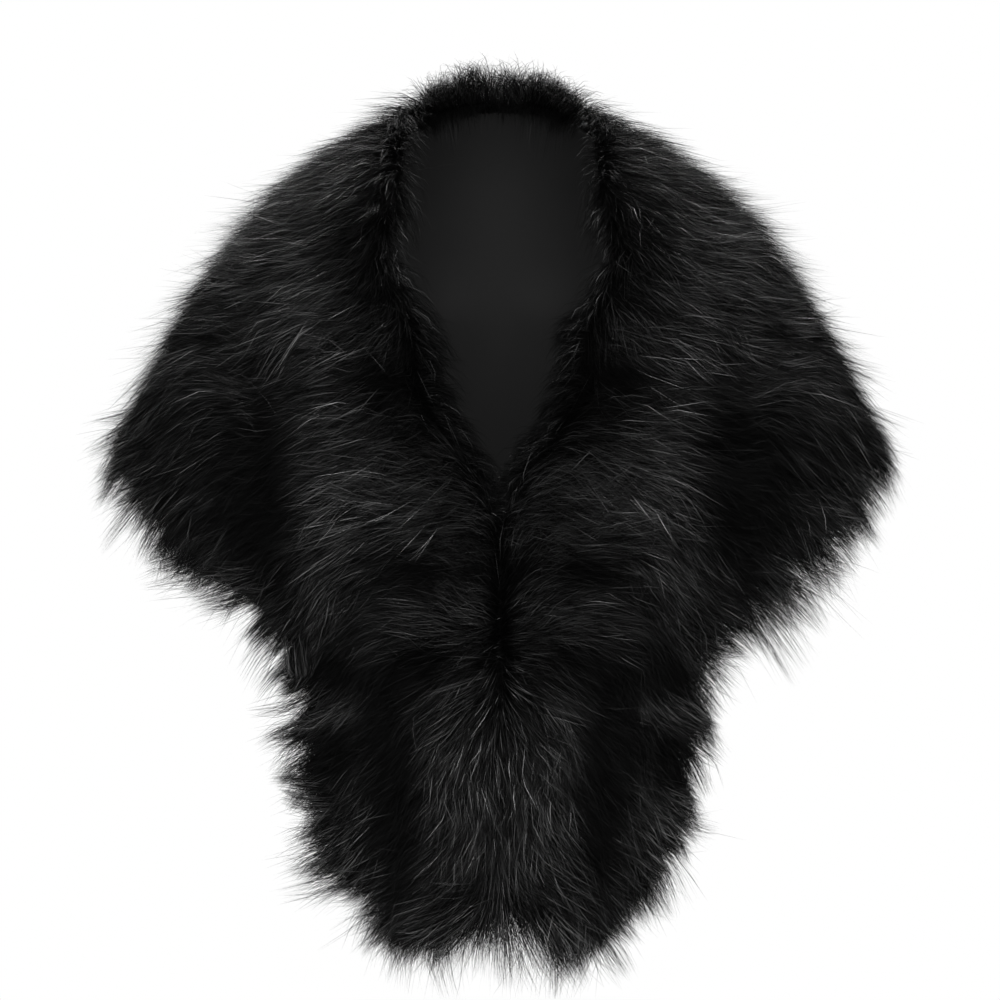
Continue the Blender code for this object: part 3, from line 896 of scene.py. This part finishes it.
# Most fibres are painted dark and a few light, as painted glints on single hairs.
BRIGHTEST, BRIGHT_FEW = 2.0, 4  # a power, so that most fibres are dull
# Proud locks and tufts are painted lighter, as lit, and low ones darker, as shaded.
LOCK_SHADE, TUFT_SHADE, TUFT_SHADE_MORE = 0.2, 0.35, 0.8
STRAY_SHADE, STRAY_GAIN_MOST = 0.4, 1.2
SHOWN_AT = 0.7  # the share from root to tip where most of a fibre shows


def shades(coat, paths, along, share, habit, stray, rng):
    """How light each fibre is painted: mostly dark with a few painted glints, lighter in proud locks and
    tufts.
    """
    shade = rng.random(len(paths)) ** BRIGHT_FEW * BRIGHTEST
    shade = shade * (LOCK_SHADE + habit.proud_lock) * (TUFT_SHADE + TUFT_SHADE_MORE * habit.proud_tuft)
    shown = (1 - SHOWN_AT) * paths[:, 0] + SHOWN_AT * paths[:, -1]
    gain = brightness(shown * to_right(along), along, share)
    return coat.shine * np.where(stray, STRAY_SHADE * np.minimum(gain, STRAY_GAIN_MOST), shade * gain)


# How dark the neck edge's fibres are painted, as painted shade, and how much lighter where they stand, over
# the throat or lie outwards; a few are painted light as glints.
NECK_SHADE, SHOULDER_SHADE, NAPE_PAINTED_SHADE, STANDING_SHADE, THROAT_SHADE = 0.12, 0.1, 0.11, 0.5, 0.4
OUTWARD_SHADE, SHOULDER_OUTWARD, MEETING_OUTWARD = 0.8, 0.4, (7.7, 8.4)
NECK_SHADE_MOST, NECK_BRIGHT, NECK_BRIGHT_FROM = 0.5, 0.03, 4


def neck_shades(shade, along, habit, rng):
    """The neck edge's own fibres, painted dark as shade except where they stand or lie outwards."""
    at = np.abs(along)
    back, shoulder, _, closed = neck_stretches(along)
    outward = ~habit.over * np.maximum(closed, shoulder)
    dim = NECK_SHADE + SHOULDER_SHADE * shoulder - NAPE_PAINTED_SHADE * habit.over * back
    dim = dim + STANDING_SHADE * habit.stand + THROAT_SHADE * within(THROAT, along)
    shown = np.maximum(shoulder * SHOULDER_OUTWARD, smooth(*MEETING_OUTWARD, at))
    dim = dim + OUTWARD_SHADE * outward * shown
    bright = (rng.random(len(along)) < NECK_BRIGHT) & (at > NECK_BRIGHT_FROM)
    return np.where(bright, NECK_SHADE_MOST, np.minimum(shade * np.minimum(dim, 1), NECK_SHADE_MOST))


# The pile's base colour runs from black to a grey that is painted light: painted glints along each hair and
# the painted light and shade of each fibre's shade value. The coat's weight follows the same value.
FIBRE_DARK, FIBRE_PAINTED_LIGHT = (0.0006, 0.0006, 0.0006, 1), (0.0575, 0.0575, 0.0575, 1)
GLINT_FROM, GLINT_SPREAD, GLINT_REACH = 0.42, 0.45, 0.32  # shares of a fibre's length
SHEEN, GLINT, GLOSS = 0.08, 1.25, 1.3
SCATTER = 23.7  # spreads the glints, so that fibres of about one brightness glint at different heights
fibre = new_material("black_pile", Roughness=0.5, Specular_IOR_Level=0.04, Coat_Roughness=0.3, Coat_IOR=1.8)
place = fibre.node("ShaderNodeUVMap", {"uv_map": "OFBake"}, {})[0]
split = fibre.node("ShaderNodeSeparateXYZ", {}, {"Vector": place})
# Each hair is painted lighter over a short stretch, a painted glint, higher or lower from one hair to the
# next.
glint_at = GLINT_FROM + GLINT_SPREAD * (split["X"] * SCATTER).math("FRACT", 0.0)
glint = (1 - ((split["Y"] - glint_at) / GLINT_REACH) ** 2).math("MAXIMUM", 0.0)
shine = split["X"] * (SHEEN + GLINT * glint)
fibre.shade(Base_Color=fibre.mix(shine, FIBRE_DARK, FIBRE_PAINTED_LIGHT), Coat_Weight=shine * GLOSS)

MARGIN = 0.02  # of the map, all round
RIM = 0.016  # across the map, between a ribbon's two rims


def ribbon_mesh(name, vertices, shade):
    """A mesh of ribbons, each a strip of four-sided faces with a pointed tip.

    Its map holds a fibre's shade from left to right, and from bottom to top how far along it a point is."""
    count, segments = len(vertices), vertices.shape[1] // 2
    quads = [(2 * k, 2 * k + 1, 2 * k + 3, 2 * k + 2) for k in range(segments - 1)]
    faces = [*quads, (2 * segments - 2, 2 * segments - 1, 2 * segments)]
    pattern = np.concatenate(faces)
    corners = (np.arange(count)[:, None] * vertices.shape[1] + pattern).ravel().astype(np.int32)
    starts = np.cumsum([0] + [len(face) for face in faces[:-1]])
    starts = (np.arange(count)[:, None] * len(pattern) + starts).ravel().astype(np.int32)
    mesh = bpy.data.meshes.new(name)
    mesh.vertices.add(vertices.shape[0] * vertices.shape[1])
    mesh.vertices.foreach_set("co", vertices.ravel())
    mesh.loops.add(len(corners))
    mesh.loops.foreach_set("vertex_index", corners)
    mesh.polygons.add(len(starts))
    mesh.polygons.foreach_set("loop_start", starts)
    mesh.materials.append(fibre.owner)
    u = MARGIN + (1 - 3 * MARGIN) * np.tanh(shade)[:, None] + np.where(pattern % 2 == 0, 0.0, RIM)
    v = np.repeat((MARGIN + (1 - 2 * MARGIN) * (pattern // 2) / segments)[None], count, axis=0)
    mesh.uv_layers.new(name="OFBake").data.foreach_set("uv", np.stack([u, v], axis=2).ravel())
    mesh.update()
    mesh.validate()
    mesh.shade_smooth()
    return mesh


def pile(layer, part, count, first, last, seed):
    """One piece of pile: many fibres as narrow tapered ribbons, drawn into locks and tufts."""
    rng, coat = np.random.default_rng(seed), COATS[layer]
    along, share, area = roots(count, first, last, coat.edge, rng)
    base = on_band(GRID_POINTS, along, share)
    leaders, lock, tuft = gather(base, area, coat, rng)
    stray = rng.random(count) < STRAYS
    stray[leaders] = False
    habit = lying_habit(coat, base, along, share, lock, tuft, stray, rng)
    if coat.edge == "neck":
        habit = neck_habit(habit, along, lock, rng)
    paths, normals = fibre_paths(along, share, coat.segments, habit)

    guide = leaders[lock]
    nape = smooth(*NAPE, np.abs(along)) * smooth(*NAPE_SHARES, share)
    free = stray | (rng.random(count) < (HEM_LOOSE if coat.edge == "hem" else LOOSE))
    free |= (habit.over != habit.over[guide]) | (nape > 0.5) & (rng.random(count) < NAPE_LOOSE)
    paths = drawn_together(paths, base, guide, lock, free, coat, rng)
    facing = normals * (1 - nape)[:, None, None] + np.array(FORWARD_UP) * nape[:, None, None]
    vertices = ribbons(paths, facing, rng)
    shade = shades(coat, paths, along, share, habit, stray, rng)
    if coat.edge == "neck":
        shade = neck_shades(shade, along, habit, rng)

    name = f"{layer}_{part}"
    piece = bpy.data.objects.new(name, ribbon_mesh(name, vertices, shade))
    bpy.context.scene.collection.objects.link(piece)
    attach(piece, "root")
    return piece


# How many fibres of each layer an area of the cloth and each edge of the back and of a front have.
CHEST_END = 7.6  # where a front's chest passes into its tail
Area = namedtuple("Area", "part first last panel guard under")
AREAS = (
    Area("back_left", 0, SHOULDER_SEAM, "back", 16000, 91000),
    Area("back_right", -SHOULDER_SEAM, 0, "back", 16000, 91000),
    Area("chest_left", SHOULDER_SEAM, CHEST_END, "front_left", 12000, 74000),
    Area("chest_right", -CHEST_END, -SHOULDER_SEAM, "front_right", 12000, 74000),
    Area("tail_left", CHEST_END, TAIL_END, "front_left", 10000, 56000),
    Area("tail_right", -TAIL_END, -CHEST_END, "front_right", 10000, 56000),
)
Edge = namedtuple("Edge", "layer back front")
EDGES = (
    Edge("neck_guard", 8500, 6000),
    Edge("neck_under", 9000, 4500),
    Edge("hem_guard", 7500, 7500),
    Edge("hem_under", 9000, 9000),
)
GUARD_SEED, EDGE_SEED, UNDER_SEED = 20, 40, 60

piles = {panel: [] for panel in PANELS}
for n, area in enumerate(AREAS):
    span = area.first, area.last
    piles[area.panel].append(pile("guard", area.part, area.guard, *span, n + GUARD_SEED))
    piles[area.panel].append(pile("under", area.part, area.under, *span, n + UNDER_SEED))
for n, (panel, span) in enumerate(PANELS.items()):
    for edge in EDGES:
        count = edge.back if panel == "back" else edge.front
        piles[panel].append(pile(edge.layer, panel, count, *span, n + EDGE_SEED))

for panel, piece in backings.items():
    width, length, area = BACKING_CUT[panel]


# ---------------------------------------------------------------------------------------------------------
# The setting: a pale round floor well below the garment, soft lamps over and beside it, and a long lens
# level with its middle.

def lamp(name, place, aim, size, power):
    """A soft box lamp that points at the aim and that the camera doesn't see."""
    data = bpy.data.lights.new(name, "AREA")
    data.shape, data.size, data.size_y, data.energy = "RECTANGLE", size[0], size[1], power
    made = bpy.data.objects.new(name, data)
    made.location = place
    made.rotation_euler = (Vector(aim) - Vector(place)).to_track_quat("-Z", "Y").to_euler()
    made.visible_camera = False
    bpy.context.scene.collection.objects.link(made)


MIDDLE = Vector((0, 0, -0.253))
lamp("lamp_over_front", (0, -1.9, 2.0), MIDDLE, (2.2, 1.2), 58)
lamp("lamp_front", (0, -3.0, 0.1), MIDDLE, (2.0, 1.4), 14)
lamp("lamp_low_front", (0, -2.7, -1.1), MIDDLE, (2.6, 1.0), 20)
lamp("lamp_left", (1.8, -2.1, -0.1), MIDDLE, (1.2, 1.8), 15)
lamp("lamp_right", (-1.8, -2.1, -0.1), MIDDLE, (1.2, 1.8), 15)
lamp("lamp_behind", (0, 2.3, 1.7), MIDDLE, (2.2, 1.2), 66)
lamp("lamp_low_behind", (0, 2.7, -0.7), MIDDLE, (2.6, 1.0), 22)

FLOOR_DEPTH, FLOOR_RADIUS = -1.4, 5.2
FADE_FROM, FADE_TO = 2.6, 5.0  # how far out the floor fades away
FLOOR_CORNERS = 96
bpy.ops.mesh.primitive_circle_add(
    vertices=FLOOR_CORNERS, radius=FLOOR_RADIUS, fill_type="NGON", location=(0, 0, FLOOR_DEPTH)
)
floor = bpy.context.object
floor.name = "floor"
floor.visible_diffuse = floor.visible_glossy = False
paint = new_material("pale_floor", Roughness=0.7, Emission_Strength=0.72)
spot = paint.node("ShaderNodeTexCoord", {}, {})["Object"]
away = paint.node("ShaderNodeVectorMath", {"operation": "LENGTH"}, {0: spot})["Value"]
speckle = paint.node("ShaderNodeTexNoise", {}, {"Vector": spot, "Scale": 30.0, "Detail": 3.0})[0]
paint.shade(
    Base_Color=paint.mix(speckle, (0.50, 0.50, 0.50, 1), (0.56, 0.56, 0.56, 1)),
    Emission_Color=paint.mix(speckle, (0.97, 0.97, 0.97, 1), (1.0, 1.0, 1.0, 1)),
    Alpha=paint.node("ShaderNodeMapRange", {}, {0: away, 1: FADE_FROM, 2: FADE_TO, 3: 1.0, 4: 0.0})[0],
)
floor.data.materials.append(paint.owner)

# The room is white to look at, and lights the garment only a little.
room = Nodes(bpy.data.worlds.new("studio"), "Background", Color=(0.05, 0.05, 0.05, 1))
white = room.node("ShaderNodeBackground", {}, {"Color": (1, 1, 1, 1)})[0]
looked_at = room.node("ShaderNodeLightPath", {}, {})["Is Camera Ray"]
dim = Socket(room, room.shader.outputs[0])
room.put(
    room.tree.nodes["World Output"].inputs["Surface"],
    room.node("ShaderNodeMixShader", {}, {0: looked_at, 1: dim, 2: white})[0],
)
bpy.context.scene.world = room.owner
bpy.context.scene.view_settings.view_transform = "Standard"

CAMERA_AWAY, FRAME_WIDTH = 5.0, 0.72
FRAME_AT = -0.06  # where, front to back, the picture is that wide
camera = bpy.data.objects.new("camera", bpy.data.cameras.new("camera"))
bpy.context.scene.collection.objects.link(camera)
camera.location = (0, -CAMERA_AWAY, MIDDLE.z)
camera.rotation_euler = (math.pi / 2, 0, 0)
camera.data.lens = camera.data.sensor_width * (CAMERA_AWAY + FRAME_AT) / FRAME_WIDTH
bpy.context.scene.camera = camera
